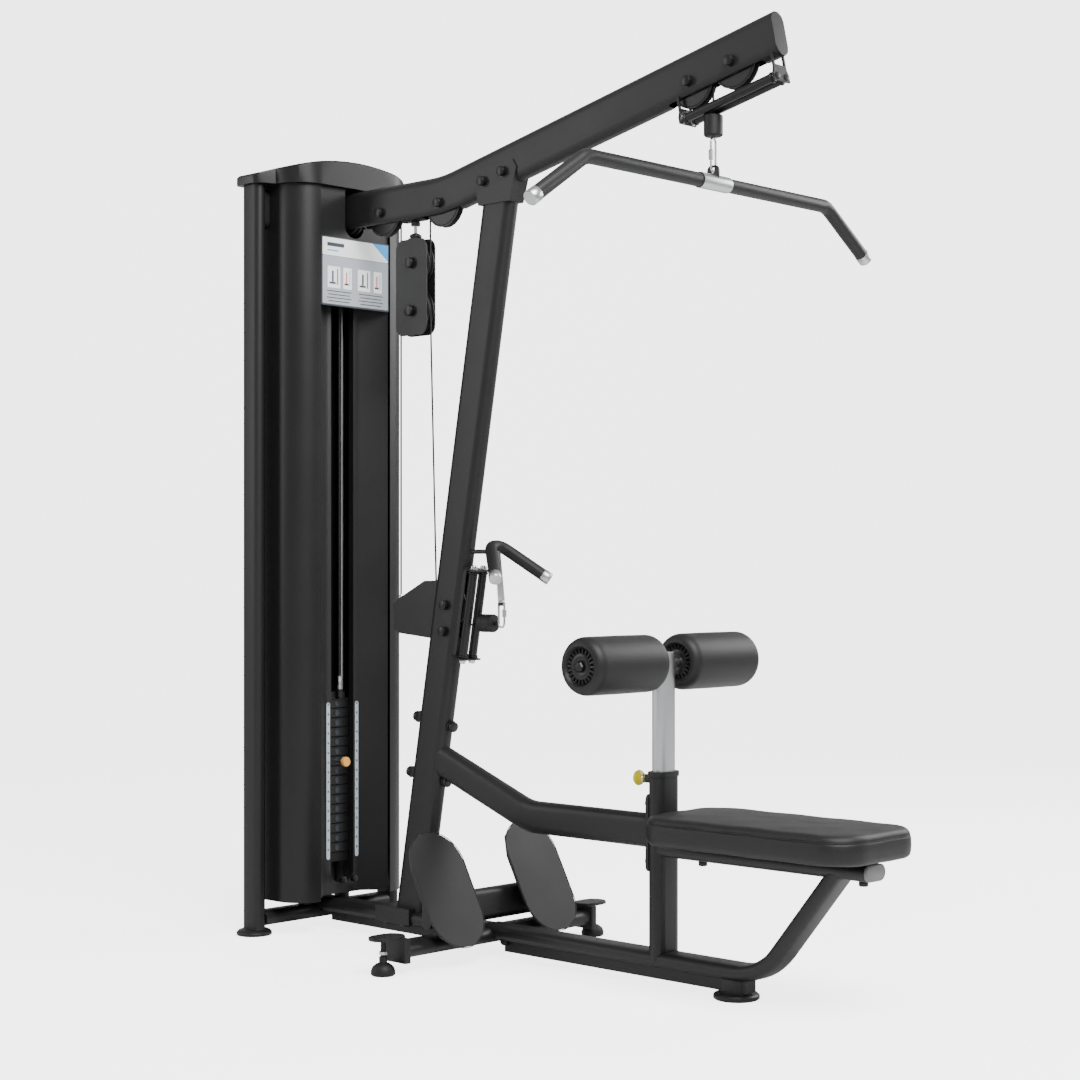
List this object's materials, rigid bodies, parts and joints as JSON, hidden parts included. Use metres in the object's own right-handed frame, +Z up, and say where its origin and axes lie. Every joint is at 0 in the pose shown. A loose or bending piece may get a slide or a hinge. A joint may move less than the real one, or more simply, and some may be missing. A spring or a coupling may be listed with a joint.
{
  "type": "lat pulldown machine",
  "caption": "Selectorized lat pulldown and low row station: weight tower, arched boom with cable pulleys, long bar, padded seat, thigh rollers and foot plates.",
  "frame": {"origin": "centre of the bounding box at floor level", "axes": "+X from the weight tower towards the seat, +Y to the left of a person facing +X, +Z up"},
  "size_m": [1.921, 1.2428, 2.2455],
  "materials": {
    "powder_coat": "satin dark grey powder coat",
    "shroud": "satin dark grey sheet",
    "placard": "printed sheet",
    "plates": "black enamel",
    "amber": "amber knob",
    "chrome": "polished",
    "rubber": "matt black",
    "foam": "moulded foam skin",
    "vinyl": "black grained upholstery",
    "yellow": "yellow knob",
    "nylon": "black nylon",
    "cable": "coated wire rope",
    "zinc": "zinc plated"
  },
  "bodies": {
    "frame": {"boom": "powder_coat", "boom_end_cap": "nylon", "boom_panel": "powder_coat", "foot_plate_left": "powder_coat", "foot_plate_right": "powder_coat", "foot_rest_beam": "powder_coat", "front_channel": "powder_coat", "front_foot": "powder_coat", "front_rail": "powder_coat", "guide_rod_left": "chrome", "guide_rod_right": "chrome", "lat_cable_drop": "cable", "lat_cable_loop": "cable", "main_post": "powder_coat", "placard": "placard", "rear_rail": "powder_coat", "resting_plates": "plates", "row_cable_loop": "cable", "row_gusset": "powder_coat", "row_roller_bracket": "powder_coat", "seat_frame": "powder_coat", "seat_pad": "vinyl", "seat_post": "powder_coat", "shroud_left": "shroud", "shroud_right": "shroud", "stabilizer_bar": "powder_coat", "stack_cable": "cable", "stack_cushion": "rubber", "tower_base_tube": "powder_coat", "tower_cap": "shroud", "tower_post_left": "powder_coat", "tower_post_right": "powder_coat", "upper_beam": "powder_coat"},
    "lifted_weights": {"lifted_plates": "plates"},
    "selector_pin": {"selector_pin": "amber"},
    "lat_cable_end": {"lat_stopper": "rubber"},
    "lat_bar": {"lat_bar": "powder_coat", "quick_link": "zinc"},
    "pulley_block": {"pulley_block": "powder_coat"},
    "row_cable_end": {"row_stopper": "rubber"},
    "row_handle": {"row_handle": "rubber", "row_link": "zinc"},
    "knee_hold_down": {"knee_post": "chrome"},
    "tower_pulley": {"tower_pulley": "nylon"},
    "boom_pulley_rear": {"boom_pulley_rear": "nylon"},
    "boom_pulley_front": {"boom_pulley_front": "nylon"},
    "tip_pulley_rear": {"tip_pulley_rear": "nylon"},
    "tip_pulley_front": {"tip_pulley_front": "nylon"},
    "block_pulley_upper": {"block_pulley_upper": "nylon"},
    "block_pulley_lower": {"block_pulley_lower": "nylon"},
    "row_pulley": {"row_pulley": "nylon"},
    "knee_roller_left": {"knee_roller_left": "foam"},
    "knee_roller_right": {"knee_roller_right": "foam"},
    "pull_knob": {"pull_knob": "yellow"},
    "boom_guide_left": {"boom_guide_left": "nylon"},
    "boom_guide_right": {"boom_guide_right": "nylon"},
    "row_guide_left": {"row_guide_left": "nylon"},
    "row_guide_right": {"row_guide_right": "nylon"},
    "leveling_foot_left": {"leveling_foot_left": "rubber"},
    "leveling_foot_right": {"leveling_foot_right": "rubber"}
  },
  "joints": [
    {"name": "weight_lift", "type": "slide", "parent": "frame", "child": "lifted_weights", "axis": [0, 0, 1], "range_m": [0, 1.1], "deforming": ["stack_cable"]},
    {"name": "pin_pull", "type": "slide", "parent": "lifted_weights", "child": "selector_pin", "axis": [1, 0, 0], "range_m": [0, 0.06]},
    {"name": "lat_pull", "type": "slide", "parent": "frame", "child": "lat_cable_end", "axis": [0, 0, -1], "range_m": [0, 1.1], "deforming": ["lat_cable_drop"]},
    {"name": "bar_swivel", "type": "hinge", "parent": "lat_cable_end", "child": "lat_bar", "pos_m": [0.4825, 0, 1.985], "axis": [0, 0, 1], "continuous": true},
    {"name": "block_drop", "type": "slide", "parent": "frame", "child": "pulley_block", "axis": [0, 0, -1], "range_m": [0, 0.22], "deforming": ["lat_cable_loop", "row_cable_loop"]},
    {"name": "row_pull", "type": "slide", "parent": "frame", "child": "row_cable_end", "axis": [0.9781, 0, 0.2079], "range_m": [0, 0.44]},
    {"name": "row_handle_swing", "type": "hinge", "parent": "row_cable_end", "child": "row_handle", "pos_m": [-0.2085, 0, 0.847], "axis": [0, 1, 0], "range_deg": [0, 60]},
    {"name": "tower_pulley_spin", "type": "hinge", "parent": "frame", "child": "tower_pulley", "pos_m": [-0.7935, 0, 1.947], "axis": [0, 1, 0], "continuous": true},
    {"name": "boom_pulley_rear_spin", "type": "hinge", "parent": "frame", "child": "boom_pulley_rear", "pos_m": [-0.6435, 0, 1.942], "axis": [0, 1, 0], "continuous": true},
    {"name": "boom_pulley_front_spin", "type": "hinge", "parent": "frame", "child": "boom_pulley_front", "pos_m": [-0.4155, 0, 1.942], "axis": [0, 1, 0], "continuous": true},
    {"name": "tip_pulley_rear_spin", "type": "hinge", "parent": "frame", "child": "tip_pulley_rear", "pos_m": [0.4255, 0, 2.12263], "axis": [0, 1, 0], "continuous": true},
    {"name": "tip_pulley_front_spin", "type": "hinge", "parent": "frame", "child": "tip_pulley_front", "pos_m": [0.55, 0, 2.14944], "axis": [0, 1, 0], "continuous": true},
    {"name": "block_pulley_upper_spin", "type": "hinge", "parent": "pulley_block", "child": "block_pulley_upper", "pos_m": [-0.5295, 0, 1.797], "axis": [0, 1, 0], "continuous": true},
    {"name": "block_pulley_lower_spin", "type": "hinge", "parent": "pulley_block", "child": "block_pulley_lower", "pos_m": [-0.5295, 0, 1.67], "axis": [0, 1, 0], "continuous": true},
    {"name": "row_pulley_spin", "type": "hinge", "parent": "frame", "child": "row_pulley", "pos_m": [-0.3915, 0, 0.892], "axis": [0, 1, 0], "continuous": true},
    {"name": "knee_height", "type": "slide", "parent": "frame", "child": "knee_hold_down", "axis": [0, 0, 1], "range_m": [-0.1, 0.05]},
    {"name": "knee_roller_left_spin", "type": "hinge", "parent": "knee_hold_down", "child": "knee_roller_left", "pos_m": [0.3315, -0.1695, 0.765], "axis": [0, 1, 0], "continuous": true},
    {"name": "knee_roller_right_spin", "type": "hinge", "parent": "knee_hold_down", "child": "knee_roller_right", "pos_m": [0.3315, 0.1695, 0.765], "axis": [0, 1, 0], "continuous": true},
    {"name": "knob_pull", "type": "slide", "parent": "frame", "child": "pull_knob", "axis": [-1, 0, 0], "range_m": [0, 0.012], "stiffness_N_per_m": 400},
    {"name": "boom_guide_left_spin", "type": "hinge", "parent": "frame", "child": "boom_guide_left", "pos_m": [0.54102, -0.0165, 2.06577], "axis": [0.9776, 0, 0.2105], "continuous": true},
    {"name": "boom_guide_right_spin", "type": "hinge", "parent": "frame", "child": "boom_guide_right", "pos_m": [0.54102, 0.0165, 2.06577], "axis": [0.9776, 0, 0.2105], "continuous": true},
    {"name": "row_guide_left_spin", "type": "hinge", "parent": "frame", "child": "row_guide_left", "pos_m": [-0.31242, -0.017, 0.86818], "axis": [0.1752, 0, 0.9845], "continuous": true},
    {"name": "row_guide_right_spin", "type": "hinge", "parent": "frame", "child": "row_guide_right", "pos_m": [-0.31242, 0.017, 0.86818], "axis": [0.1752, 0, 0.9845], "continuous": true},
    {"name": "leveling_foot_left_turn", "type": "hinge", "parent": "frame", "child": "leveling_foot_left", "pos_m": [-0.2385, -0.378, 0.04275], "axis": [0, 0, 1], "continuous": true},
    {"name": "leveling_foot_right_turn", "type": "hinge", "parent": "frame", "child": "leveling_foot_right", "pos_m": [-0.2385, 0.378, 0.04275], "axis": [0, 0, 1], "continuous": true}
  ],
  "couplings": [
    {"joint": "lat_pull", "follows": "weight_lift", "ratio": 1},
    {"joint": "row_pull", "follows": "block_drop", "ratio": 2},
    {"joint": "tower_pulley_spin", "follows": "weight_lift", "rad_per_m": 22.222},
    {"joint": "boom_pulley_rear_spin", "follows": "weight_lift", "rad_per_m": 17.544},
    {"joint": "boom_pulley_front_spin", "follows": "weight_lift", "rad_per_m": 17.544},
    {"joint": "tip_pulley_rear_spin", "follows": "weight_lift", "rad_per_m": 17.544},
    {"joint": "block_pulley_upper_spin", "follows": "weight_lift", "rad_per_m": -17.544},
    {"joint": "row_pulley_spin", "follows": "block_drop", "rad_per_m": -35.088},
    {"joint": "block_pulley_lower_spin", "follows": "block_drop", "rad_per_m": 17.544}
  ]
}
